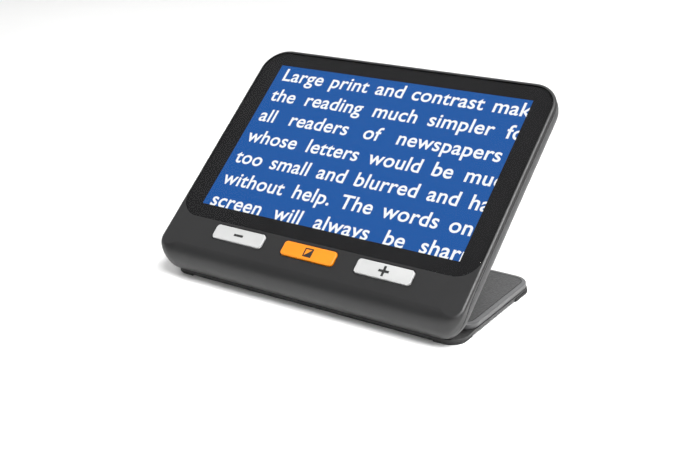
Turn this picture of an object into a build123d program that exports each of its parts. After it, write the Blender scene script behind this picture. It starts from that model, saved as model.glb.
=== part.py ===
from build123d import *
import math
import os

# Low vision magnifier: an 8 inch electronic magnifier whose head leans back on a hinged base plate.
# Units are millimetres.  +X is the user's right, +Y points away from the user and +Z is up.
# The origin is on the table, at the middle of the whole object's footprint box.
# Head parts are drawn in the head's own frame: x right, y up the screen and z out of the screen,
# with its origin at the screen centre.  The head frame is then tilted and lifted into place.

# ---- driving dimensions -------------------------------------------------------------------------
TILT = 39.2                     # lean of the screen, from lying flat
SCREEN_HEIGHT = 74.5            # screen centre above the table
LCD_W, LCD_H = 172.3, 107.7     # lit area of an 8 inch 16:10 panel
GLASS_W, GLASS_H, GLASS_R = 196.6, 126.3, 13.5
GLASS_T = 1.0
GLASS_GAP = 0.45                # dark line round the cover glass
BODY_W = 201.0
BODY_TOP = 65.8
CORNER_R = 16.5
LOW_CORNER_R = 12.8             # bottom corners, where the sides run into the roll
FACE_Z = 0.4                    # front face, above the lit layer
BACK_Z = -17.9                  # flat of the back
BACK_R = 12.4                   # rounding from the side walls to the back
FACE_EDGE_R = 1.7               # front edge of the bezel, growing into the roll at the bottom corners
ROLL_R = 10.7                   # full round along the bottom edge, centred on the hinge axis
ROLL_Y = -82.5
CHIN_TAIL_Y = (-76.0, -71.3)    # the chin slopes up to the back between these
WALL = 1.8
KEY_W, KEY_H, KEY_R = 34.8, 9.1, 2.0
KEY_Y = -70.3
KEY_PITCH = 48.6
KEY_TOP = 1.3
KEY_GAP = 0.4
KEY_TRAVEL = 0.8
BASE_W = 192.4
BASE_FRONT, BASE_BACK = -59.2, 33.0
BASE_R = 10.0
FOOT_STANDS = 0.6               # feet below the tray
TRAY_T = 2.5
COVER_FRONT = -45.0
COVER_TOP = 6.3
HINGE_X = 62.0
LUG_W = 8.0
LEG_AHEAD, LEG_BEHIND = 1.2, 5.4
PIN_R = 2.0
STOW_ANGLE = 39.2

# ---- worked-out values --------------------------------------------------------------------------
ROLL_Z = FACE_Z - ROLL_R
BODY_LOW = ROLL_Y - ROLL_R
CHIN_Z = ROLL_Z - ROLL_R
CHIN_FRONT = -6.5
CORNER_Y = BODY_LOW + LOW_CORNER_R
CHIN_TAIL_RUN = (CHIN_TAIL_Y[1] - CHIN_TAIL_Y[0]) / (BACK_Z - CHIN_Z)
ROUND_R = ROLL_R - 0.02         # leaves a hair of straight wall in the roll's section
GLASS_LOW = FACE_Z - GLASS_T
INK_T = 0.05                    # black border printed under the glass
LEDGE_TOP = GLASS_LOW - INK_T
LEDGE_LOW = LEDGE_TOP - 1.35
PARTING_Z = -1.3
GROOVE_W, GROOVE_DEPTH = 0.7, 1.1
TRAY_TOP = FOOT_STANDS + TRAY_T
HEAD_PLACE = Pos(0, 0, SCREEN_HEIGHT) * Rot(TILT, 0, 0)
AXIS_AT = (HEAD_PLACE * Pos(0, ROLL_Y, ROLL_Z)).position
parts = {}


# ---- small drawing helpers ----------------------------------------------------------------------
def slab(width, height, radius, low, high, x=0.0, y=0.0):
    """Rounded rectangle lying in XY, from z low to z high."""
    return extrude(Pos(x, y, low) * RectangleRounded(width, height, radius), amount=high - low)


def block(x0, x1, y0, y1, z0, z1):
    """Plain box between two corners."""
    middle = Pos((x0 + x1) / 2, (y0 + y1) / 2, (z0 + z1) / 2)
    return middle * Box(x1 - x0, y1 - y0, z1 - z0)


def rod(radius, low, high, x=0.0, y=0.0):
    """Round bar along Z."""
    return Pos(x, y, (low + high) / 2) * Cylinder(radius, high - low)


def rod_x(radius, x0, x1, y, z):
    """Round bar along X."""
    return Pos((x0 + x1) / 2, y, z) * Rot(0, 90, 0) * Cylinder(radius, x1 - x0)


def across(face, x0, x1):
    """Side profile drawn as (y, z), stretched along X from x0 to x1."""
    return Pos(x0, 0, 0) * extrude(Plane.YZ * face, amount=x1 - x0)


def polygon(points):
    """Face from a closed list of points, kept where it is drawn."""
    return make_face(Polyline(*points, close=True))


def group(solids):
    """Several separate solids kept in one node."""
    return Compound([solid for shape in solids for solid in shape.solids()])


def pan_screw(radius, head_radius, tip, head_low, x, y, head_high):
    """Screw along Z: its shank from tip to head_low and its head up to head_high."""
    low, high = sorted((tip, head_low))
    shank = rod(radius, low, high, x, y)
    head_bottom, head_upper = sorted((head_low, head_high))
    head = rod(head_radius, head_bottom, head_upper, x, y)
    outer = max(head.faces(), key=lambda f: abs(f.center().Z - tip))
    head = chamfer(outer.edges(), 0.25)
    slot_z = head_high
    cross = block(x - 0.25, x + 0.25, y - 1.1, y + 1.1, slot_z - 0.5, slot_z + 0.5)
    cross += block(x - 1.1, x + 1.1, y - 0.25, y + 0.25, slot_z - 0.5, slot_z + 0.5)
    return shank + head - cross


# ---- head shell shapes --------------------------------------------------------------------------
def side_section(turn, inset):
    """Upright section of the head's rim, as (outward, z), from its side (0) round to the roll (90)."""
    share = math.sin(math.radians(turn)) ** 2
    front_r = FACE_EDGE_R + (ROUND_R - FACE_EDGE_R) * share - inset
    front_r = max(front_r, 0.15)
    back_r = BACK_R + (ROUND_R - BACK_R) * share - inset
    front = FACE_Z - inset
    back = BACK_Z + (CHIN_Z - BACK_Z) * share + inset
    reach = LOW_CORNER_R - inset
    lean = math.sqrt(0.5)
    front_mid = (reach - front_r * (1 - lean), front - front_r * (1 - lean))
    back_mid = (reach - back_r * (1 - lean), back + back_r * (1 - lean))
    rim = [
        Line((0.3, front), (reach - front_r, front)),
        ThreePointArc((reach - front_r, front), front_mid, (reach, front - front_r)),
        Line((reach, front - front_r), (reach, back + back_r)),
        ThreePointArc((reach, back + back_r), back_mid, (reach - back_r, back)),
        Line((reach - back_r, back), (0.3, back)),
        Line((0.3, back), (0.3, front)),
    ]
    outward = Vector(math.cos(math.radians(turn)), -math.sin(math.radians(turn)), 0)
    return Plane(origin=(0, 0, 0), x_dir=outward, z_dir=outward.cross(Vector(0, 0, 1))) * make_face(rim)


def low_corner(inset):
    """Right-hand bottom corner, in which the side's section swells into the roll's full round."""
    sections = [side_section(turn, inset) for turn in range(0, 91, 15)]
    bend = sweep(sections=sections, path=CenterArc((0, 0, 0), 8, 0, -90), multisection=True)
    core = rod(0.6, BACK_Z + inset, FACE_Z - inset)
    return Pos(BODY_W / 2 - LOW_CORNER_R, CORNER_Y, 0) * (bend + core)


def head_solid(inset, edge_round=0.0):
    """The whole head as one solid, with every outer face moved in by inset."""
    width = BODY_W - 2 * inset
    top = BODY_TOP - inset
    front = FACE_Z - inset
    back = BACK_Z + inset
    chin_back = CHIN_Z + inset
    low = CORNER_Y - 2 * CORNER_R
    main = slab(width, top - low, CORNER_R - inset, back, front, 0, (low + top) / 2)
    main = fillet(main.faces().sort_by(Axis.Z)[0].edges(), BACK_R - inset)
    if edge_round:
        main = fillet(main.faces().sort_by(Axis.Z)[-1].edges(), edge_round)
    main &= block(-BODY_W, BODY_W, CORNER_Y, BODY_TOP, -40, 10)
    tail_start = CHIN_TAIL_Y[0] - inset * 0.6
    tail_end = tail_start + (CHIN_FRONT - chin_back) * CHIN_TAIL_RUN
    tail = [(CORNER_Y, CHIN_FRONT), (CORNER_Y, chin_back), (tail_start, chin_back), (tail_end, CHIN_FRONT)]
    corner = low_corner(inset)
    half_roll = BODY_W / 2 - LOW_CORNER_R
    chin = across(polygon(tail), -half_roll, half_roll)
    roll = Pos(-half_roll, CORNER_Y, 0) * extrude(side_section(90, inset), amount=2 * half_roll, dir=(1, 0, 0))
    core = block(-half_roll, half_roll, CORNER_Y - 0.6, CORNER_Y + 0.6, chin_back, front)
    return main + chin + core + roll + corner + mirror(corner, about=Plane.YZ)


def parting_face(shift_y, shift_z):
    """Everything in front of the line where the front bezel meets the rear shell, as (y, z)."""
    points = [(-35, PARTING_Z), (-60, -1.9), (-75, -3.0), (-84, -5.8), (-92.1, -15.0), (-97, -24.0)]
    curve = Spline(*[(y + shift_y, z + shift_z) for y, z in points], tangents=[(-1, 0), (-0.4, -0.9)])
    start = curve @ 0
    end = curve @ 1
    rest = Polyline((end.X, end.Y), (-130, end.Y), (-130, 40), (90, 40), (90, start.Y), (start.X, start.Y))
    return make_face([curve, rest])


outer = head_solid(0, FACE_EDGE_R)
inner = head_solid(WALL)
groove_floor = head_solid(GROOVE_DEPTH)
front_side = across(parting_face(0, 0), -BODY_W, BODY_W)
front_side_low = across(parting_face(-0.6 * GROOVE_W, -GROOVE_W), -BODY_W, BODY_W)
key_x = [-KEY_PITCH, 0.0, KEY_PITCH]


# ---- hinge side profile, shared by the lugs and by the slots they move in -----------------------
def lug_profile(grow):
    """Lug with its eye and foot, in the base's frame as (y, z), grown all round."""
    eye = Pos(AXIS_AT.Y, AXIS_AT.Z) * Circle(6.0 + grow)
    leg_low = TRAY_TOP - grow
    leg_height = AXIS_AT.Z - leg_low
    foot_front = AXIS_AT.Y - LEG_AHEAD - grow
    leg_back = AXIS_AT.Y + LEG_BEHIND + grow
    leg_place = Pos((foot_front + leg_back) / 2, leg_low + leg_height / 2)
    leg = leg_place * Rectangle(leg_back - foot_front, leg_height)
    foot_back = -37.0
    foot_height = 1.5 + 2 * grow
    foot = Pos((foot_front + foot_back) / 2, TRAY_TOP + 0.75)
    return eye + leg + foot * Rectangle(foot_back - foot_front, foot_height)


def lug_path():
    """Space the two lugs sweep through, seen from the head, as the head folds down."""
    to_head = HEAD_PLACE.inverse()
    swept = None
    steps = 6
    for step in range(steps + 1):
        angle = STOW_ANGLE * step / steps
        turn = Pos(0, ROLL_Y, ROLL_Z) * Rot(angle, 0, 0) * Pos(0, -ROLL_Y, -ROLL_Z)
        for side in (-1, 1):
            middle = side * HINGE_X
            half = LUG_W / 2 + 0.6
            lug = turn * (to_head * across(lug_profile(0.5), middle - half, middle + half))
            swept = lug if swept is None else swept + lug
    return swept


lug_space = lug_path()

# ---- front bezel --------------------------------------------------------------------------------
LCD_BORDER = 4.0
window_w = LCD_W + 2 * LCD_BORDER + 0.8
window_h = LCD_H + 2 * LCD_BORDER + 0.8
bezel = outer & front_side
bezel -= inner & block(-120, 120, -120, 90, -40, LEDGE_LOW)
bezel += (head_solid(2.1) & block(-120, 120, ROLL_Y + 8, 90, LEDGE_LOW, PARTING_Z + 0.2))
bezel -= slab(GLASS_W + 2 * GLASS_GAP, GLASS_H + 2 * GLASS_GAP, GLASS_R + GLASS_GAP, LEDGE_TOP, 3)
bezel -= slab(window_w, window_h, 1.0, -12, 3)
for x in key_x:
    bezel -= slab(KEY_W + 2 * KEY_GAP, KEY_H + 2 * KEY_GAP, KEY_R + KEY_GAP, -12, 3, x, KEY_Y)
SHELL_SCREWS = [(-95, 48), (0, 61.8), (95, 48), (-95, -20), (95, -20), (-88, -66), (88, -66)]
BEZEL_POST_R = 2.4
BEZEL_POST_LOW = -6.0
KEY_BOARD_POSTS = [(-76, -66), (-24.3, -70.3), (24.3, -70.3), (76, -66)]
KEY_BOARD_TOP = -6.1
for x, y in KEY_BOARD_POSTS:
    bezel += rod(BEZEL_POST_R, KEY_BOARD_TOP, LEDGE_LOW + 0.2, x, y)
    bezel -= rod(0.8, KEY_BOARD_TOP - 1, LEDGE_LOW - 0.6, x, y)
for x, y in SHELL_SCREWS:
    bezel += rod(BEZEL_POST_R, BEZEL_POST_LOW, LEDGE_LOW + 0.2, x, y) & inner
    bezel -= rod(0.8, BEZEL_POST_LOW - 1, LEDGE_LOW - 0.6, x, y)
parts["front_bezel"] = ("head", bezel)

# ---- cover glass and display --------------------------------------------------------------------
glass = slab(GLASS_W, GLASS_H, GLASS_R, GLASS_LOW, FACE_Z)
glass = chamfer(glass.faces().sort_by(Axis.Z)[-1].edges(), 0.2)
parts["cover_glass"] = ("head", glass)
panel_w = LCD_W + 2 * LCD_BORDER
panel_h = LCD_H + 2 * LCD_BORDER
LCD_TOP = LEDGE_TOP
LCD_LOW = LCD_TOP - 1.3
LIGHT_LOW = LCD_LOW - 2.6
parts["display_panel"] = ("head", slab(panel_w, panel_h, 0.6, LCD_LOW, LCD_TOP))
light_guide = slab(panel_w - 1.2, panel_h - 1.2, 0.6, LIGHT_LOW, LCD_LOW)
parts["backlight_guide"] = ("head", light_guide)
FRAME_WALL = 0.4
frame_top = LEDGE_LOW - 0.15
tray = slab(panel_w + 2, panel_h + 2, 1.2, LIGHT_LOW - FRAME_WALL, frame_top)
tray -= slab(panel_w + 2 - 2 * FRAME_WALL, panel_h + 2 - 2 * FRAME_WALL, 0.9, LIGHT_LOW, frame_top + 1)
FRAME_EARS = [(-60, 1), (60, 1), (-60, -1), (60, -1)]
for x, side in FRAME_EARS:
    edge = side * (panel_h / 2 + 1.0)
    low_y, high_y = sorted((edge - side * 0.3, edge + side * 2.9))
    tray += block(x - 4, x + 4, low_y, high_y, frame_top - FRAME_WALL, frame_top)
parts["display_frame"] = ("head", tray)

# ---- front keys, each with a flange under the bezel ---------------------------------------------
FLANGE_TOP = LEDGE_LOW - 0.1
FLANGE_LOW = FLANGE_TOP - 0.8
KEY_NAMES = ["zoom_out_key", "contrast_key", "zoom_in_key"]
for name, x in zip(KEY_NAMES, key_x):
    cap = slab(KEY_W, KEY_H, KEY_R, FLANGE_LOW, KEY_TOP, x, KEY_Y)
    cap = fillet(cap.faces().sort_by(Axis.Z)[-1].edges(), 0.5)
    cap += slab(KEY_W + 2.2, KEY_H + 2.2, KEY_R, FLANGE_LOW, FLANGE_TOP, x, KEY_Y)
    cap -= slab(KEY_W - 3, KEY_H - 3, 1.0, FLANGE_LOW - 1, KEY_TOP - 1.6, x, KEY_Y)
    cap += rod(1.6, FLANGE_LOW, KEY_TOP - 1.5, x, KEY_Y)
    parts[name] = (name, cap)
MEMBRANE_TOP = FLANGE_LOW - KEY_TRAVEL - 0.05
MEMBRANE_LOW = MEMBRANE_TOP - 0.5
membrane = slab(140, 12.5, 2.0, MEMBRANE_LOW, MEMBRANE_TOP, 0, KEY_Y)
for x, y in KEY_BOARD_POSTS[1:3]:
    membrane -= rod(BEZEL_POST_R + 0.3, MEMBRANE_LOW - 1, MEMBRANE_TOP + 1, x, y)
parts["keypad_membrane"] = ("head", membrane)
key_board = slab(160, 14, 1.5, KEY_BOARD_TOP - 1.0, KEY_BOARD_TOP, 0, KEY_Y + 0.5)
for x, y in KEY_BOARD_POSTS:
    key_board -= rod(1.0, KEY_BOARD_TOP - 2, KEY_BOARD_TOP + 1, x, y)
parts["key_board"] = ("head", key_board)
switches = []
for x in key_x:
    can = slab(6, 6, 0.5, KEY_BOARD_TOP, KEY_BOARD_TOP + 1.0, x, KEY_Y)
    can += rod(1.5, KEY_BOARD_TOP + 0.9, MEMBRANE_LOW, x, KEY_Y)
    switches.append(can)
parts["tact_switches"] = ("head", group(switches))
parts["key_board_screws"] = ("head", group([
    pan_screw(0.8, 1.6, LEDGE_LOW - 0.9, KEY_BOARD_TOP - 1.0, x, y, KEY_BOARD_TOP - 2.2)
    for x, y in KEY_BOARD_POSTS
]))

# ---- rear shell ---------------------------------------------------------------------------------
rear = (outer - front_side_low) + (groove_floor - front_side)
mouth = slab(BODY_W - 2 * WALL, BODY_TOP - ROLL_Y - 10 - WALL, CORNER_R - WALL, -6, 3, 0,
             (BODY_TOP - WALL + ROLL_Y + 10) / 2)
rear -= inner
rear -= mouth
rear -= lug_space
SCREW_POST_R = 3.2
SCREW_SEAT = BACK_Z + 5.2
for x, y in SHELL_SCREWS:
    rear += rod(SCREW_POST_R, BACK_Z + 0.9, BEZEL_POST_LOW - 0.05, x, y) & outer
    rear -= rod(2.1, CHIN_Z - 1, SCREW_SEAT, x, y)
    rear -= rod(1.15, CHIN_Z - 1, 3, x, y)
# camera pod window, lamp windows, speaker grille, side sockets and top key slots
POD_Y = 40.0
POD_W, POD_H = 96.0, 24.0
POD_OUT = BACK_Z - 2.4
LAMP_X = 33.0
rear -= rod(7.0, BACK_Z - 1, BACK_Z + 3, 0, POD_Y)
for x in (-LAMP_X, LAMP_X):
    rear -= slab(20, 9, 3, BACK_Z - 1, BACK_Z + 3, x, POD_Y)
SPEAKER_X, SPEAKER_Y = -72.0, 38.0
GRILLE_SLOTS = 6
for index in range(GRILLE_SLOTS):
    slot_y = SPEAKER_Y + (index - (GRILLE_SLOTS - 1) / 2) * 2.8
    rear -= slab(16, 1.2, 0.59, BACK_Z - 1, BACK_Z + 3, SPEAKER_X, slot_y)
SOCKET_Z = -5.6
USB_Y, JACK_Y = 10.0, 26.0
LEFT = -BODY_W / 2
usb_cut = Pos(LEFT, USB_Y, SOCKET_Z) * Rot(0, 90, 0) * Rot(0, 0, 90)
rear -= usb_cut * extrude(RectangleRounded(9.4, 3.6, 1.7), amount=3, both=True)
rear -= rod_x(2.6, LEFT - 2, LEFT + 3, JACK_Y, SOCKET_Z)
TOP_KEY_W, TOP_KEY_H = 16.0, 4.0
TOP_KEY_Z = -4.9
TOP_KEYS = {"power_key": 62.0, "snapshot_key": -62.0}
for x in TOP_KEYS.values():
    cut = Pos(x, BODY_TOP, TOP_KEY_Z) * Rot(90, 0, 0)
    rear -= cut * extrude(RectangleRounded(TOP_KEY_W + 0.5, TOP_KEY_H + 0.5, 2.0), amount=4, both=True)
parts["rear_shell"] = ("head", rear)
parts["shell_screws"] = ("head", group([
    pan_screw(0.8, 1.9, LEDGE_LOW - 0.9, SCREW_SEAT, x, y, SCREW_SEAT - 1.2) for x, y in SHELL_SCREWS
]))

# ---- power and snapshot keys in the top edge ----------------------------------------------------
for name, x in TOP_KEYS.items():
    turn = Pos(x, 0, TOP_KEY_Z) * Rot(90, 0, 0)
    cap = Pos(0, BODY_TOP + 0.7, 0) * turn * extrude(
        RectangleRounded(TOP_KEY_W, TOP_KEY_H, 1.8), amount=3.4)
    cap = fillet(cap.faces().sort_by(Axis.Y)[-1].edges(), 0.4)
    flange = Pos(0, BODY_TOP - WALL - 0.5, 0) * turn * extrude(
        RectangleRounded(TOP_KEY_W + 2.4, TOP_KEY_H + 1.0, 1.8), amount=0.8)
    parts[name] = (name, cap + flange)
KEY_STRIP_Y = BODY_TOP - WALL - 1.3 - 0.7
side_keys = []
for x in TOP_KEYS.values():
    side_keys.append(block(x - 3, x + 3, KEY_STRIP_Y - 2.2, KEY_STRIP_Y, TOP_KEY_Z - 1.6, TOP_KEY_Z + 1.6))
parts["top_key_switches"] = ("head", group(side_keys))

# ---- electronics --------------------------------------------------------------------------------
BOARD_TOP = LIGHT_LOW - FRAME_WALL - 2.6
BOARD_LOW = BOARD_TOP - 1.2
board = slab(150, 40, 2, BOARD_LOW, BOARD_TOP, -8, 2)
BOARD_SCREWS = [(-79, -14), (63, -14), (-79, 18), (63, 18)]
for x, y in BOARD_SCREWS:
    board -= rod(1.1, BOARD_LOW - 1, BOARD_TOP + 1, x, y)
parts["main_board"] = ("head", board)
shield = slab(44, 30, 1.0, BOARD_LOW - 2.2, BOARD_LOW, -30, 2)
shield -= slab(43, 29, 0.8, BOARD_LOW - 1.9, BOARD_LOW + 1, -30, 2)
parts["processor_shield"] = ("head", shield)
parts["processor_chip"] = ("head", slab(14, 14, 0.4, BOARD_LOW - 1.2, BOARD_LOW, -30, 2))
parts["board_screws"] = ("head", group([
    pan_screw(1.0, 1.9, LIGHT_LOW - FRAME_WALL - 0.2, BOARD_LOW, x, y, BOARD_LOW - 1.2)
    for x, y in BOARD_SCREWS
]))
BATTERY_LOW = BACK_Z + WALL + 0.3
battery = slab(120, 34, 3, BATTERY_LOW, BATTERY_LOW + 6.2, 0, -40)
battery = fillet(battery.faces().sort_by(Axis.Z)[0].edges(), 1.2)
parts["battery_pack"] = ("head", battery)
speaker = slab(24, 20, 3, BACK_Z + WALL + 0.1, BACK_Z + WALL + 4.6, SPEAKER_X, SPEAKER_Y)
speaker -= slab(17, 14, 3, BACK_Z, BACK_Z + WALL + 0.8, SPEAKER_X, SPEAKER_Y)
parts["speaker"] = ("head", speaker)
usb_place = Pos(LEFT + 0.9, USB_Y, SOCKET_Z) * Rot(0, 90, 0) * Rot(0, 0, 90)
usb = usb_place * extrude(RectangleRounded(9.0, 3.2, 1.5), amount=7.4)
usb -= usb_place * extrude(RectangleRounded(8.4, 2.6, 1.25), amount=6.4)
usb += block(LEFT + 2.2, LEFT + 8.0, USB_Y - 3.2, USB_Y + 3.2, SOCKET_Z - 0.35, SOCKET_Z + 0.35)
parts["usb_socket"] = ("head", usb)
jack = rod_x(2.5, LEFT + 0.9, LEFT + 2.9, JACK_Y, SOCKET_Z)
jack += block(LEFT + 2.7, LEFT + 7.0, JACK_Y - 3, JACK_Y + 3, SOCKET_Z - 2.4, SOCKET_Z + 0.2 + 2.0)
jack -= rod_x(1.75, LEFT, LEFT + 6.0, JACK_Y, SOCKET_Z)
parts["headphone_socket"] = ("head", jack)
parts["socket_board"] = ("head", block(LEFT + 3.2, LEFT + 9.0, 3, 32, SOCKET_Z - 3.6, SOCKET_Z - 2.45))

# ---- camera pod on the back ---------------------------------------------------------------------
pod = slab(POD_W, POD_H, 10, POD_OUT, BACK_Z, 0, POD_Y)
pod = fillet(pod.faces().sort_by(Axis.Z)[0].edges(), 1.4)
pod -= rod(5.2, POD_OUT - 1, BACK_Z + 1, 0, POD_Y)
pod -= rod(6.8, POD_OUT - 1, POD_OUT + 1.0, 0, POD_Y)
for x in (-LAMP_X, LAMP_X):
    pod -= slab(15, 6.0, 2.4, POD_OUT - 1, BACK_Z + 1, x, POD_Y)
    pod -= slab(18, 8.6, 3.4, POD_OUT - 1, POD_OUT + 1.0, x, POD_Y)
parts["camera_pod"] = ("head", pod)
window = rod(6.7, POD_OUT + 0.1, POD_OUT + 1.0, 0, POD_Y)
parts["camera_window"] = ("head", chamfer(window.faces().sort_by(Axis.Z)[0].edges(), 0.2))
for name, x in (("lamp_window_left", -LAMP_X), ("lamp_window_right", LAMP_X)):
    parts[name] = ("head", slab(17.8, 8.4, 3.3, POD_OUT + 0.1, POD_OUT + 1.0, x, POD_Y))
LENS_TIP = POD_OUT + 1.4
CAMERA_LOW = BACK_Z + 3.4
barrel = rod(4.6, LENS_TIP, CAMERA_LOW, 0, POD_Y) - rod(3.4, LENS_TIP - 1, LENS_TIP + 1.0, 0, POD_Y)
parts["camera_lens"] = ("head", barrel)
parts["camera_module"] = ("head", slab(13, 13, 1.0, CAMERA_LOW, CAMERA_LOW + 4.0, 0, POD_Y))
camera_board = slab(90, 16, 1.0, CAMERA_LOW + 4.0, CAMERA_LOW + 5.0, 0, POD_Y)
parts["camera_board"] = ("head", camera_board)
lamps = []
for x in (-LAMP_X, LAMP_X):
    for offset in (-4.2, 0, 4.2):
        led = slab(3.5, 3.5, 0.3, CAMERA_LOW + 3.0, CAMERA_LOW + 4.0, x + offset, POD_Y)
        led += rod(1.3, CAMERA_LOW + 2.2, CAMERA_LOW + 3.0, x + offset, POD_Y)
        lamps.append(led)
parts["lamp_leds"] = ("head", group(lamps))


# ---- flat cables inside the head ----------------------------------------------------------------
def ribbon(points, thickness, x, width):
    """Flat cable whose side view follows points in (y, z), with rounded bends."""
    path = FilletPolyline(*points, radius=1.2)
    strip = trace(path, line_width=thickness)
    return across(strip, x - width / 2, x + width / 2)


frame_back = LIGHT_LOW - FRAME_WALL
parts["camera_ribbon"] = ("head", ribbon(
    [(POD_Y - 8.2, CAMERA_LOW + 5.4), (28.5, CAMERA_LOW + 5.4), (24.2, BOARD_TOP + 0.6), (16, BOARD_TOP + 0.6)],
    0.3, 18, 10))
parts["display_ribbon"] = ("head", ribbon(
    [(-46, frame_back - 0.4), (-31, frame_back - 0.4), (-24, BOARD_TOP + 0.5), (-12, BOARD_TOP + 0.5)],
    0.3, 30, 28))

# ---- friction hinge, head half ------------------------------------------------------------------
CHEEK_T = 5.0
CHEEK_IN = LUG_W / 2 + 0.6
cheek_web = Pos(-69.5, -11.2) * Rectangle(9.0, 7.4)
cheek_face = Pos(ROLL_Y, ROLL_Z) * Circle(6.2)
cheek_face += Pos((ROLL_Y - 65.0) / 2, -11.2) * Rectangle(-65.0 - ROLL_Y, 7.4)
for name, side in (("left", -1), ("right", 1)):
    middle = side * HINGE_X
    low = middle - CHEEK_IN - CHEEK_T
    high = middle + CHEEK_IN + CHEEK_T
    clevis = across(cheek_face, low, low + CHEEK_T) + across(cheek_face, high - CHEEK_T, high)
    clevis += across(cheek_web, low, high)
    clevis -= rod_x(PIN_R, low - 1, high + 1, ROLL_Y, ROLL_Z)
    parts["hinge_block_" + name] = ("head", clevis)
    pin = rod_x(PIN_R, low - 0.2, high + 1.0, ROLL_Y, ROLL_Z)
    pin += rod_x(3.4, high, high + 1.0, ROLL_Y, ROLL_Z) + rod_x(3.4, low - 1.0, low, ROLL_Y, ROLL_Z)
    parts["hinge_pin_" + name] = ("head", pin)
washers = []
for side in (-1, 1):
    for end in (-1, 1):
        middle = side * HINGE_X + end * (LUG_W / 2 + 0.33)
        ring = rod_x(5.2, middle - 0.25, middle + 0.25, ROLL_Y, ROLL_Z)
        washers.append(ring - rod_x(PIN_R, middle - 1, middle + 1, ROLL_Y, ROLL_Z))
parts["friction_washers"] = ("head", group(washers))

# ---- base ---------------------------------------------------------------------------------------
base_y = (BASE_FRONT + BASE_BACK) / 2
base_depth = BASE_BACK - BASE_FRONT


def base_outline(grow, low, high):
    """The base's footprint, grown all round, from z low to z high."""
    return slab(BASE_W + 2 * grow, base_depth + 2 * grow, BASE_R + grow, low, high, 0, base_y)


FOOT_TOP = FOOT_STANDS + 1.2
tray = base_outline(0, FOOT_STANDS, TRAY_TOP)
tray = chamfer(tray.faces().sort_by(Axis.Z)[0].edges(), 0.4)
FEET = {
    "front_foot_left": (-1, BASE_FRONT - 2, BASE_FRONT + 16),
    "front_foot_right": (1, BASE_FRONT - 2, BASE_FRONT + 16),
    "rear_foot_left": (-1, BASE_BACK - 23, BASE_BACK + 2),
    "rear_foot_right": (1, BASE_BACK - 23, BASE_BACK + 2),
}
for name, (side, y0, y1) in FEET.items():
    x0, x1 = sorted((side * (BASE_W / 2 - 15), side * (BASE_W / 2 + 2)))
    stand_out = 0.0 if name.startswith("front") else 0.5
    pad = base_outline(stand_out, 0, FOOT_TOP) & block(x0, x1, y0, y1, -1, 5)
    tray -= block(x0, x1, y0, y1, -1, FOOT_TOP)
    parts[name] = ("base", chamfer(pad.faces().sort_by(Axis.Z)[0].edges(), 0.3))
BASE_SCREWS = [(-80, 8), (80, 8), (-80, -38), (80, -38), (0, 22), (0, -38)]
LUG_SCREWS = [(side * HINGE_X, y) for side in (-1, 1) for y in (-48.0, -41.0)]
for x, y in BASE_SCREWS + LUG_SCREWS:
    tray -= rod(2.1, 0, FOOT_STANDS + 1.0, x, y)
    tray -= rod(1.05, 0, 5, x, y)
parts["base_tray"] = ("base", tray)

cover_y = (COVER_FRONT + BASE_BACK) / 2
cover_depth = BASE_BACK - COVER_FRONT
RIM = 3.0
PAD_T = 0.6
cover = slab(BASE_W - 0.8, cover_depth - 0.4, BASE_R, TRAY_TOP, COVER_TOP, 0, cover_y - 0.2)
cover = fillet(cover.faces().sort_by(Axis.Z)[-1].edges(), 0.7)
cover -= slab(BASE_W - 2 * RIM, cover_depth - 2 * RIM, BASE_R - RIM, COVER_TOP - PAD_T, 9, 0, cover_y)
cover -= slab(BASE_W - 2 * RIM - 2, cover_depth - 2 * RIM - 2, BASE_R - RIM, 0,
              COVER_TOP - PAD_T - 0.7, 0, cover_y)
for x, y in BASE_SCREWS:
    cover += rod(2.6, TRAY_TOP, COVER_TOP - PAD_T - 0.5, x, y)
    cover -= rod(0.8, 0, COVER_TOP - PAD_T - 0.6, x, y)
for side in (-1, 1):
    middle = side * HINGE_X
    cover -= block(middle - LUG_W / 2 - 0.2, middle + LUG_W / 2 + 0.2, -50, -36, 0, TRAY_TOP + 1.6)
parts["base_cover"] = ("base", cover)
pad = slab(BASE_W - 2 * RIM - 0.7, cover_depth - 2 * RIM - 0.7, BASE_R - RIM - 0.35,
           COVER_TOP - PAD_T, COVER_TOP - 0.05, 0, cover_y)
parts["base_top_pad"] = ("base", pad)
weight = slab(180, 42, 4, TRAY_TOP, TRAY_TOP + 1.5, 0, -9)
for x, y in BASE_SCREWS:
    weight -= rod(3.0, 0, 9, x, y)
parts["weight_plate"] = ("base", weight)
for name, side in (("left", -1), ("right", 1)):
    middle = side * HINGE_X
    lug = across(lug_profile(0), middle - LUG_W / 2, middle + LUG_W / 2)
    lug -= rod_x(PIN_R + 0.05, middle - 9, middle + 9, AXIS_AT.Y, AXIS_AT.Z)
    for y in (-48.0, -41.0):
        lug -= rod(0.8, 0, 9, middle, y)
    parts["hinge_lug_" + name] = ("base", lug)
parts["base_screws"] = ("base", group([
    pan_screw(0.8, 1.9, TRAY_TOP + 1.4, FOOT_STANDS + 1.0, x, y, FOOT_STANDS + 0.1)
    for x, y in BASE_SCREWS + LUG_SCREWS
]))

# ---- place everything and write it --------------------------------------------------------------
placed = {}
for name, (body, shape) in parts.items():
    placed[name] = shape if body == "base" else HEAD_PLACE * shape
boxes = [shape.bounding_box() for shape in placed.values()]
MIDDLE_Y = (min(b.min.Y for b in boxes) + max(b.max.Y for b in boxes)) / 2
os.makedirs("parts", exist_ok=True)
for name, shape in placed.items():
    export_step(Pos(0, -MIDDLE_Y, 0) * shape, "parts/" + name + ".step")
print("footprint middle at y", round(MIDDLE_Y, 4), "hinge axis y z",
      round(AXIS_AT.Y - MIDDLE_Y, 4), round(AXIS_AT.Z, 4), "nodes", len(placed))
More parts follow.
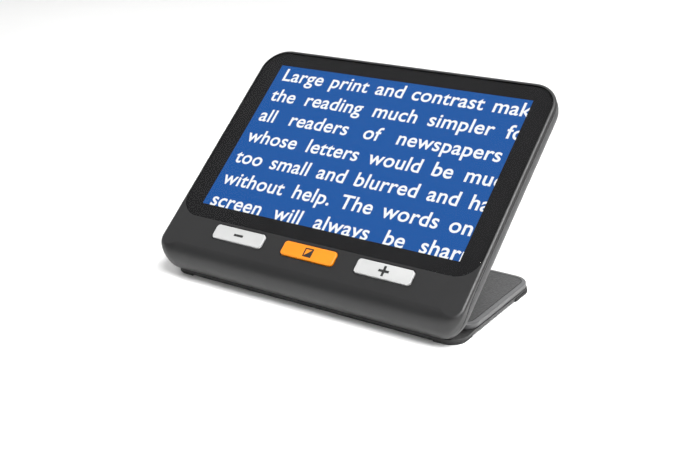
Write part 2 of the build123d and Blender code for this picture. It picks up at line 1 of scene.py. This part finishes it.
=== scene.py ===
"""Low vision magnifier: finishes, screen words, printed marks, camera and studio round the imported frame.

Lengths are metres, apart from places on the head. Those are millimetres in the head's own frame (x right,
y up the screen, z out of the screen, origin at the screen centre) and HEAD carries them into the row frame.
"""
import math

import bmesh
import bpy
from mathutils import Matrix, Vector


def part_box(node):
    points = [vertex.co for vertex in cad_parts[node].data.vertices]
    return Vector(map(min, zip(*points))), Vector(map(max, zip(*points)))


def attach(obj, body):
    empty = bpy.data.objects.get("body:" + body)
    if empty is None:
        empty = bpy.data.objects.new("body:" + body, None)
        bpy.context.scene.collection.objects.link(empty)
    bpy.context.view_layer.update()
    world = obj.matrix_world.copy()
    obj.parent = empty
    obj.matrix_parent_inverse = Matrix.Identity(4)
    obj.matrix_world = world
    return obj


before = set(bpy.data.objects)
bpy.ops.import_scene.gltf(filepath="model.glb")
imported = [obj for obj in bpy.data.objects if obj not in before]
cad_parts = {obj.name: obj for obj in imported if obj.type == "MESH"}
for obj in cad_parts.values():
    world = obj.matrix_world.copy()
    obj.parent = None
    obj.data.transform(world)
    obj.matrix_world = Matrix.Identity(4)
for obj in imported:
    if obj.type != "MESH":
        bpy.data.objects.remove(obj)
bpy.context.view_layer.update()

# ---- driving values -----------------------------------------------------------------------------
MM = 0.001
TILT = math.radians(39.2)
LCD_W, LCD_H = 172.3, 107.7
LCD_TOP = -0.65
LCD_THICK = 1.3
GLASS_W, GLASS_H, GLASS_R = 196.6, 126.3, 13.5
KEY_PITCH = 48.6
KEY_Y = -70.3
KEY_TOP = 1.3
PRINT_T = 0.03
GAP_REACH = 0.0016
CAMERA_FROM_SCREEN = Vector((0.3254, -0.5183, 0.1817))
CAMERA_AZIMUTH = math.radians(32.76)
CAMERA_ELEVATION = math.radians(20.71)
CAMERA_LENS = 56.8
SENSOR = 36.0


def middle(node):
    """Centre of a CAD node's box."""
    low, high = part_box(node)
    return (Vector(low) + Vector(high)) / 2


LEAN = Matrix.Rotation(TILT, 4, "X")
panel_depth = Vector((0, 0, (LCD_TOP - LCD_THICK / 2) * MM))
SCREEN_CENTRE = middle("display_panel") - LEAN @ panel_depth
HEAD = Matrix.Translation(SCREEN_CENTRE) @ LEAN


# ---- camera -------------------------------------------------------------------------------------
def add_camera():
    camera = bpy.data.cameras.new("camera")
    camera.lens = CAMERA_LENS
    camera.sensor_width = SENSOR
    camera.clip_start = 0.01
    holder = bpy.data.objects.new("camera", camera)
    holder.location = SCREEN_CENTRE + CAMERA_FROM_SCREEN
    holder.rotation_euler = (math.pi / 2 - CAMERA_ELEVATION, 0, CAMERA_AZIMUTH)
    bpy.context.scene.collection.objects.link(holder)
    bpy.context.scene.camera = holder


add_camera()


# ---- material building blocks -------------------------------------------------------------------
def spanned(tree, value, source, target):
    """Output of a node that carries value from one range to another, held at the ends."""
    made = tree.nodes.new("ShaderNodeMapRange")
    tree.links.new(value, made.inputs["Value"])
    made.inputs["From Min"].default_value, made.inputs["From Max"].default_value = source
    made.inputs["To Min"].default_value, made.inputs["To Max"].default_value = target
    return made.outputs["Result"]


class Finish:
    """A node material under construction, with short calls for the nodes used here."""

    def __init__(self, name):
        self.material = bpy.data.materials.new(name)
        self.material.use_nodes = True
        self.tree = self.material.node_tree
        self.shader = self.tree.nodes["Principled BSDF"]
        self.output = self.tree.nodes["Material Output"]
        self.place = self.node("ShaderNodeTexCoord").outputs["Object"]

    def node(self, kind, **values):
        made = self.tree.nodes.new(kind)
        for name, value in values.items():
            setattr(made, name, value)
        return made

    def link(self, source, target):
        self.tree.links.new(source, target)

    def noise(self, scale, detail=2.0):
        made = self.node("ShaderNodeTexNoise")
        self.link(self.place, made.inputs["Vector"])
        made.inputs["Scale"].default_value = scale
        made.inputs["Detail"].default_value = detail
        return made.outputs["Fac"]

    def span(self, value, low, high, from_low=0.3, from_high=0.7):
        """Value carried from its own range, where most noise lies by default, to low..high."""
        return spanned(self.tree, value, (from_low, from_high), (low, high))

    def blend(self, factor, first, second):
        made = self.node("ShaderNodeMix", data_type="RGBA")
        self.link(factor, made.inputs["Factor"])
        made.inputs["A"].default_value = (*first, 1)
        made.inputs["B"].default_value = (*second, 1)
        return made.outputs["Result"]

    def colour(self, first, second, scale):
        mottle = self.span(self.noise(scale), 0, 1)
        self.link(self.blend(mottle, first, second), self.shader.inputs["Base Color"])

    def roughness(self, low, high, scale):
        self.link(self.span(self.noise(scale, 3), low, high), self.shader.inputs["Roughness"])

    def grain(self, scale, depth, soft_edge=0.0):
        """Surface relief of the given depth in metres, over edges softened by soft_edge metres."""
        bump = self.node("ShaderNodeBump")
        bump.inputs["Strength"].default_value = 1.0
        bump.inputs["Distance"].default_value = depth
        self.link(self.noise(scale, 2), bump.inputs["Height"])
        if soft_edge:
            bevel = self.node("ShaderNodeBevel", samples=4)
            bevel.inputs["Radius"].default_value = soft_edge
            self.link(bevel.outputs["Normal"], bump.inputs["Normal"])
        self.link(bump.outputs["Normal"], self.shader.inputs["Normal"])

    def gloss(self, level):
        """Gloss of the open surface, with painted shade: it falls away inside grooves and gaps narrower
        than GAP_REACH, so they look darker than their lighting makes them.
        """
        painted_shade_occlusion = self.node("ShaderNodeAmbientOcclusion", samples=6)
        painted_shade_occlusion.inputs["Distance"].default_value = GAP_REACH
        # painted shade: the specular level drops where occlusion is high, darkening grooves and gaps
        painted_shade_gloss = self.span(painted_shade_occlusion.outputs["AO"], 0.02, level, 0.6, 0.97)
        self.link(painted_shade_gloss, self.shader.inputs["Specular IOR Level"])

    def put(self, name, value):
        self.shader.inputs[name].default_value = value


def tinted(colour, factor):
    return tuple(channel * factor for channel in colour)


def moulded(name, colour, low=0.42, high=0.55, scale=2600, depth=0.00002, soft_edge=0.0003, gloss=0.5):
    """Spark-textured plastic: slight mottling, fine grain, softened edges, roughness low..high and gloss
    that fades in grooves and gaps as painted shade.
    """
    finish = Finish(name)
    finish.colour(tinted(colour, 0.93), tinted(colour, 1.07), 60)
    finish.roughness(low, high, 900)
    finish.grain(scale, depth, soft_edge)
    finish.gloss(gloss)
    return finish.material


def polished(name, colour, low=0.05, high=0.09):
    """Glossy plastic with faint handling smears in its roughness."""
    finish = Finish(name)
    finish.colour(tinted(colour, 0.9), tinted(colour, 1.1), 40)
    finish.roughness(low, high, 45)
    finish.grain(300, 0.000001)
    finish.put("Coat Weight", 0.3)
    return finish.material


def rubber(name, colour):
    finish = Finish(name)
    finish.colour(tinted(colour, 0.8), tinted(colour, 1.25), 700)
    finish.roughness(0.72, 0.88, 1500)
    finish.grain(3200, 0.00003)
    return finish.material


def metal(name, colour, low=0.25, high=0.42, stretch=(1, 14, 14)):
    """Bare metal with a brushed grain drawn out along X."""
    finish = Finish(name)
    mapping = finish.node("ShaderNodeMapping")
    finish.link(finish.place, mapping.inputs["Vector"])
    mapping.inputs["Scale"].default_value = stretch
    finish.place = mapping.outputs["Vector"]
    finish.colour(tinted(colour, 0.88), tinted(colour, 1.06), 300)
    finish.roughness(low, high, 500)
    finish.grain(600, 0.000006)
    finish.put("Metallic", 1.0)
    return finish.material


def circuit_board(name):
    """Green solder mask over faint copper areas."""
    finish = Finish(name)
    cells = finish.node("ShaderNodeTexVoronoi", distance="MANHATTAN")
    finish.link(finish.place, cells.inputs["Vector"])
    cells.inputs["Scale"].default_value = 420
    copper = finish.span(cells.outputs["Distance"], 0, 1, 0.25, 0.32)
    mask = finish.blend(copper, (0.012, 0.11, 0.04), (0.02, 0.19, 0.07))
    finish.link(mask, finish.shader.inputs["Base Color"])
    finish.roughness(0.22, 0.34, 500)
    finish.grain(900, 0.00001)
    return finish.material


def clear_glass(name, reflection):
    """Thin clear sheet: what is behind shows, under that share of a reflection on its outer sides."""
    finish = Finish(name)
    fresnel = finish.node("ShaderNodeFresnel")
    fresnel.inputs["IOR"].default_value = 1.45
    front = finish.node("ShaderNodeMath", operation="SUBTRACT")
    front.inputs[0].default_value = 1.0
    finish.link(finish.node("ShaderNodeNewGeometry").outputs["Backfacing"], front.inputs[1])
    outside = finish.node("ShaderNodeMath", operation="MULTIPLY")
    finish.link(fresnel.outputs["Fac"], outside.inputs[0])
    finish.link(front.outputs[0], outside.inputs[1])
    share = finish.node("ShaderNodeMath", operation="MULTIPLY")
    finish.link(outside.outputs[0], share.inputs[0])
    share.inputs[1].default_value = reflection
    clear = finish.node("ShaderNodeBsdfTransparent")
    gloss = finish.node("ShaderNodeBsdfGlossy")
    smears = finish.span(finish.noise(35, 3), 0.03, 0.07)
    finish.link(smears, gloss.inputs["Roughness"])
    mixed = finish.node("ShaderNodeMixShader")
    finish.link(share.outputs[0], mixed.inputs["Fac"])
    finish.link(clear.outputs[0], mixed.inputs[1])
    finish.link(gloss.outputs[0], mixed.inputs[2])
    finish.link(mixed.outputs[0], finish.output.inputs["Surface"])
    return finish.material


def frosted(name):
    finish = Finish(name)
    finish.colour((0.72, 0.73, 0.70), (0.82, 0.83, 0.80), 400)
    finish.roughness(0.3, 0.45, 800)
    finish.grain(1800, 0.00002)
    finish.put("Transmission Weight", 0.55)
    return finish.material


def lit(name, colour):
    """Lit liquid crystal picture: the light is even, with a faint cell-scale ripple."""
    finish = Finish(name)
    finish.put("Base Color", (0.01, 0.01, 0.012, 1))
    finish.put("Specular IOR Level", 0.0)
    finish.roughness(0.4, 0.5, 400)
    ripple = finish.span(finish.noise(3000), 0, 1)
    glow = finish.blend(ripple, tinted(colour, 0.985), tinted(colour, 1.015))
    finish.link(glow, finish.shader.inputs["Emission Color"])
    finish.put("Emission Strength", 1.0)
    return finish.material


FINISHES = {
    "bezel": moulded("bezel_plastic", (0.009, 0.009, 0.0094), 0.38, 0.45, 2200, 0.00003, 0.0002),
    "shell": moulded("shell_plastic", (0.013, 0.013, 0.014), 0.38, 0.46, 2200, 0.00003, 0.0002, 0.28),
    "pod": polished("pod_plastic", (0.012, 0.012, 0.013)),
    "light_key": moulded("light_key_plastic", (0.36, 0.362, 0.36), 0.38, 0.5, 2400, 0.000008, 0.0002),
    "orange_key": moulded("orange_key_plastic", (0.60, 0.175, 0.002), 0.38, 0.5, 2400, 0.000008, 0.0002),
    "black": moulded("black_plastic", (0.012, 0.012, 0.012), 0.4, 0.55, 2200, 0.00002, 0.0002),
    "rim": moulded("base_rim_plastic", (0.060, 0.060, 0.062), 0.3, 0.42, 2600, 0.00001, 0.0003),
    "pad": moulded("base_pad_plastic", (0.022, 0.022, 0.023), 0.42, 0.56, 950, 0.0003, 0.0),
    "rubber": rubber("foot_rubber", (0.012, 0.012, 0.012)),
    "silicone": rubber("keypad_silicone", (0.2, 0.2, 0.21)),
    "steel": metal("plain_steel", (0.56, 0.56, 0.57)),
    "dark_steel": metal("screw_steel", (0.09, 0.09, 0.095), 0.3, 0.45),
    "tin": metal("tin_plate", (0.64, 0.65, 0.66), 0.18, 0.3),
    "zinc": metal("hinge_zinc", (0.36, 0.36, 0.38), 0.45, 0.6, (1, 1, 1)),
    "board": circuit_board("circuit_board"),
    "chip": moulded("chip_package", (0.018, 0.018, 0.018), 0.5, 0.65),
    "foil": metal("battery_foil", (0.55, 0.56, 0.58), 0.35, 0.5, (1, 1, 1)),
    "guide": moulded("light_guide", (0.85, 0.86, 0.88), 0.3, 0.4),
    "film": polished("amber_film", (0.38, 0.14, 0.02), 0.2, 0.3),
    "lamp": moulded("lamp_dome", (0.9, 0.72, 0.2), 0.2, 0.3),
    "glass": clear_glass("cover_glass_clear", 0.2),
    "window": clear_glass("window_clear", 1.0),
    "frosted": frosted("lamp_diffuser"),
    "screen": lit("screen_blue", (0.0005, 0.086, 0.352)),
    "words": lit("screen_white", (0.93, 0.95, 0.97)),
    "border": moulded("glass_border_ink", (0.010, 0.010, 0.0105), 0.2, 0.26, 3000, 0.0000005, 0.0),
    "ink": moulded("key_ink", (0.004, 0.004, 0.004), 0.6, 0.7, 3000, 0.000004, 0.0),
}
NODE_FINISH = {
    "front_bezel": "bezel", "rear_shell": "shell", "camera_pod": "pod", "camera_lens": "pod",
    "cover_glass": "glass", "display_panel": "screen", "backlight_guide": "guide", "display_frame": "steel",
    "zoom_out_key": "light_key", "zoom_in_key": "light_key", "contrast_key": "orange_key",
    "snapshot_key": "orange_key", "power_key": "black", "keypad_membrane": "silicone",
    "key_board": "board", "main_board": "board", "camera_board": "board", "socket_board": "board",
    "tact_switches": "chip", "top_key_switches": "chip", "processor_chip": "chip", "camera_module": "chip",
    "processor_shield": "tin", "usb_socket": "tin", "headphone_socket": "black", "speaker": "black",
    "battery_pack": "foil", "camera_window": "window", "lamp_window_left": "frosted",
    "lamp_window_right": "frosted", "lamp_leds": "lamp", "camera_ribbon": "film", "display_ribbon": "film",
    "hinge_block_left": "zinc", "hinge_block_right": "zinc", "hinge_pin_left": "steel",
    "hinge_pin_right": "steel", "friction_washers": "steel", "hinge_lug_left": "steel",
    "hinge_lug_right": "steel", "weight_plate": "steel", "base_tray": "black", "base_cover": "rim",
    "base_top_pad": "pad", "front_foot_left": "rubber", "front_foot_right": "rubber",
    "rear_foot_left": "rubber", "rear_foot_right": "rubber", "base_screws": "dark_steel",
    "shell_screws": "dark_steel", "board_screws": "dark_steel", "key_board_screws": "dark_steel",
}


def paint(piece, finish):
    piece.data.materials.clear()
    piece.data.materials.append(FINISHES[finish])


for node, finish in NODE_FINISH.items():
    paint(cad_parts[node], finish)


# ---- building pieces ----------------------------------------------------------------------------
def add_piece(name, mesh, finish, body):
    """Links a mesh drawn in head millimetres, carries it into the row frame and lets it ride."""
    mesh.transform(HEAD @ Matrix.Scale(MM, 4))
    mesh.update()
    piece = bpy.data.objects.new(name, mesh)
    bpy.context.scene.collection.objects.link(piece)
    paint(piece, finish)
    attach(piece, body)


def rounded_outline(width, height, radius, x=0.0, y=0.0, steps=10):
    """Points round a rounded rectangle, anticlockwise."""
    points = []
    for corner in range(4):
        turn = math.radians(90 * corner)
        side_x = 1 if corner in (0, 3) else -1
        side_y = 1 if corner in (0, 1) else -1
        centre_x = x + side_x * (width / 2 - radius)
        centre_y = y + side_y * (height / 2 - radius)
        for step in range(steps + 1):
            angle = turn + math.radians(90) * step / steps
            points.append((centre_x + radius * math.cos(angle), centre_y + radius * math.sin(angle)))
    return points


def flat_mesh(name, outlines, low, high):
    """Closed thin solid from outlines of (x, y); every outline after the first is a hole in it."""
    curve = bpy.data.curves.new(name, "CURVE")
    curve.dimensions = "2D"
    curve.fill_mode = "BOTH"
    curve.extrude = (high - low) / 2
    for outline in outlines:
        spline = curve.splines.new("POLY")
        spline.points.add(len(outline) - 1)
        spline.use_cyclic_u = True
        for point, (x, y) in zip(spline.points, outline):
            point.co = (x, y, 0, 1)
    return solid_from_curve(curve, (low + high) / 2)


def solid_from_curve(curve, z):
    """Mesh of a filled curve, with its doubled edge points joined, raised to z."""
    holder = bpy.data.objects.new(curve.name, curve)
    mesh = bpy.data.meshes.new_from_object(holder)
    bpy.data.objects.remove(holder)
    shape = bmesh.new()
    shape.from_mesh(mesh)
    bmesh.ops.translate(shape, verts=shape.verts, vec=(0, 0, z))
    bmesh.ops.remove_doubles(shape, verts=shape.verts, dist=0.0004)
    shape.to_mesh(mesh)
    shape.free()
    return mesh


# ---- black border printed under the cover glass -------------------------------------------------
GLASS_LOW = -0.60
INK_GAP = 0.012
border_outer = rounded_outline(GLASS_W - 0.6, GLASS_H - 0.6, GLASS_R - 0.3)
border_inner = rounded_outline(LCD_W, LCD_H, 0.4, steps=3)
border = flat_mesh("glass_border", [border_outer, border_inner], LCD_TOP + INK_GAP, GLASS_LOW - INK_GAP)
add_piece("glass_border", border, "border", "head")

# ---- words on the screen ------------------------------------------------------------------------
WORD_LINES = [  # gap between words, line
    (5.4, "Large print and contrast make"),
    (7.5, "the reading much simpler for"),
    (10.8, "all readers of newspapers"),
    (7.2, "whose letters would be much"),
    (6.3, "too small and blurred and hard"),
    (6.5, "without help. The words on"),
    (9.5, "screen will always be sharp"),
]
TEXT_LEFT = -81.3
FIRST_BASELINE = 42.4
LINE_PITCH = 16.05
TEXT_SIZE = 13.4
TEXT_BOLD = 0.19
WORDS_LOW, WORDS_HIGH = LCD_TOP + 0.004, LCD_TOP + 0.02


def word_curve(word):
    curve = bpy.data.curves.new("word", "FONT")
    curve.body = word
    curve.size = TEXT_SIZE
    curve.offset = TEXT_BOLD
    curve.space_character = 1.04
    curve.resolution_u = 6
    curve.extrude = (WORDS_HIGH - WORDS_LOW) / 2
    return curve


def line_mesh(name, text, gap, baseline):
    """One line of words set gap apart, cut off at the edges of the lit area."""
    meshes = []
    for word in text.split():
        meshes.append(solid_from_curve(word_curve(word), (WORDS_LOW + WORDS_HIGH) / 2))
    widths = [max(v.co.x for v in mesh.vertices) for mesh in meshes]
    shape = bmesh.new()
    x = TEXT_LEFT
    for mesh, width in zip(meshes, widths):
        mesh.transform(Matrix.Translation((x, baseline, 0)))
        shape.from_mesh(mesh)
        bpy.data.meshes.remove(mesh)
        x += width + gap
    for normal, reach in (((1, 0, 0), LCD_W / 2), ((0, 1, 0), LCD_H / 2), ((0, -1, 0), LCD_H / 2)):
        edge = Vector(normal) * reach
        geometry = shape.verts[:] + shape.edges[:] + shape.faces[:]
        cut = bmesh.ops.bisect_plane(shape, geom=geometry, plane_co=edge, plane_no=normal, clear_outer=True)
        cut_edges = [item for item in cut["geom_cut"] if isinstance(item, bmesh.types.BMEdge)]
        if cut_edges:
            bmesh.ops.contextual_create(shape, geom=cut_edges)
    result = bpy.data.meshes.new(name)
    shape.to_mesh(result)
    shape.free()
    return result


for index, (gap, text) in enumerate(WORD_LINES):
    name = f"screen_line_{index + 1}"
    baseline = FIRST_BASELINE - index * LINE_PITCH
    add_piece(name, line_mesh(name, text, gap, baseline), "words", "head")

# ---- marks printed on the keys ------------------------------------------------------------------
MARK_LENGTH = 6.4
MARK_STROKE = 1.5


def bar(width, height, x, y):
    return rounded_outline(width, height, 0.18, x, y, 4)


def plus_outline(length, stroke, x, y):
    """Twelve-cornered plus sign."""
    arm, half = length / 2, stroke / 2
    corners = [(half, half), (half, arm), (-half, arm), (-half, half), (-arm, half), (-arm, -half),
               (-half, -half), (-half, -arm), (half, -arm), (half, -half), (arm, -half), (arm, half)]
    return [(x + across, y + up) for across, up in corners]


def add_print(name, outlines, body):
    mesh = flat_mesh(name, outlines, KEY_TOP, KEY_TOP + PRINT_T)
    add_piece(name, mesh, "ink", body)


add_print("minus_mark", [bar(MARK_LENGTH, MARK_STROKE, -KEY_PITCH, KEY_Y)], "zoom_out_key")
add_print("plus_mark", [plus_outline(MARK_LENGTH, MARK_STROKE, KEY_PITCH, KEY_Y)], "zoom_in_key")
ICON = 5.6
ICON_LINE = 0.8
icon_frame = [rounded_outline(ICON, ICON, 0.25, 0, KEY_Y, 4),
              rounded_outline(ICON - 2 * ICON_LINE, ICON - 2 * ICON_LINE, 0.1, 0, KEY_Y, 2)]
add_print("contrast_mark_frame", icon_frame, "contrast_key")
half = ICON / 2 - ICON_LINE
icon_half = [(-half, KEY_Y - half), (half, KEY_Y - half), (half, KEY_Y + half)]
add_print("contrast_mark_half", [icon_half], "contrast_key")


# ---- studio -------------------------------------------------------------------------------------
FLOOR_REACH = 8.0
BRIGHT_SIDE = (-0.69, 0.67, -0.27)


def add_floor():
    mesh = bpy.data.meshes.new("floor")
    reach = FLOOR_REACH
    corners = [(-reach, -reach, 0), (reach, -reach, 0), (reach, reach, 0), (-reach, reach, 0)]
    mesh.from_pydata(corners, [], [(0, 1, 2, 3)])
    floor = bpy.data.objects.new("floor", mesh)
    bpy.context.scene.collection.objects.link(floor)
    finish = Finish("pale_floor")
    finish.colour((0.84, 0.84, 0.835), (0.88, 0.88, 0.875), 3)
    finish.roughness(0.6, 0.75, 30)
    mesh.materials.append(finish.material)


def add_light(name, place, size, power, aim=(0, 0, 0.05)):
    lamp = bpy.data.lights.new(name, "AREA")
    lamp.shape = "RECTANGLE"
    lamp.size, lamp.size_y = size
    lamp.energy = power
    holder = bpy.data.objects.new(name, lamp)
    holder.location = place
    holder.rotation_euler = (Vector(aim) - Vector(place)).to_track_quat("-Z", "Y").to_euler()
    bpy.context.scene.collection.objects.link(holder)


def add_sky():
    """Pale surroundings: bright at the horizon and behind the object, dimmer over its right front."""
    world = bpy.data.worlds.new("studio")
    world.use_nodes = True
    tree = world.node_tree
    background = tree.nodes["Background"]
    place = tree.nodes.new("ShaderNodeTexCoord").outputs["Generated"]
    toward = tree.nodes.new("ShaderNodeVectorMath")
    toward.operation = "DOT_PRODUCT"
    toward.inputs[1].default_value = BRIGHT_SIDE
    tree.links.new(place, toward.inputs[0])
    split = tree.nodes.new("ShaderNodeSeparateXYZ")
    tree.links.new(place, split.inputs[0])
    brighter = tree.nodes.new("ShaderNodeMath")
    brighter.operation = "MAXIMUM"
    tree.links.new(spanned(tree, toward.outputs["Value"], (-0.15, 0.3), (0.10, 1.0)), brighter.inputs[0])
    tree.links.new(spanned(tree, split.outputs["Z"], (0.0, 0.3), (0.85, 0.0)), brighter.inputs[1])
    tree.links.new(brighter.outputs["Value"], background.inputs["Strength"])
    background.inputs["Color"].default_value = (1, 1, 1, 1)
    bpy.context.scene.world = world


add_floor()
add_sky()
add_light("back_box", (0.2, 1.2, 1.7), (2.6, 1.4), 18, (0.0, 0.9, 0))
add_light("right_box", (0.95, -0.15, 1.1), (0.2, 1.3), 26)
add_light("overhead_box", (0.42, -0.48, 1.05), (0.4, 0.4), 12)
add_light("front_box", (0.95, -1.7, 1.3), (0.5, 0.45), 13)
bpy.context.scene.view_settings.view_transform = "Standard"
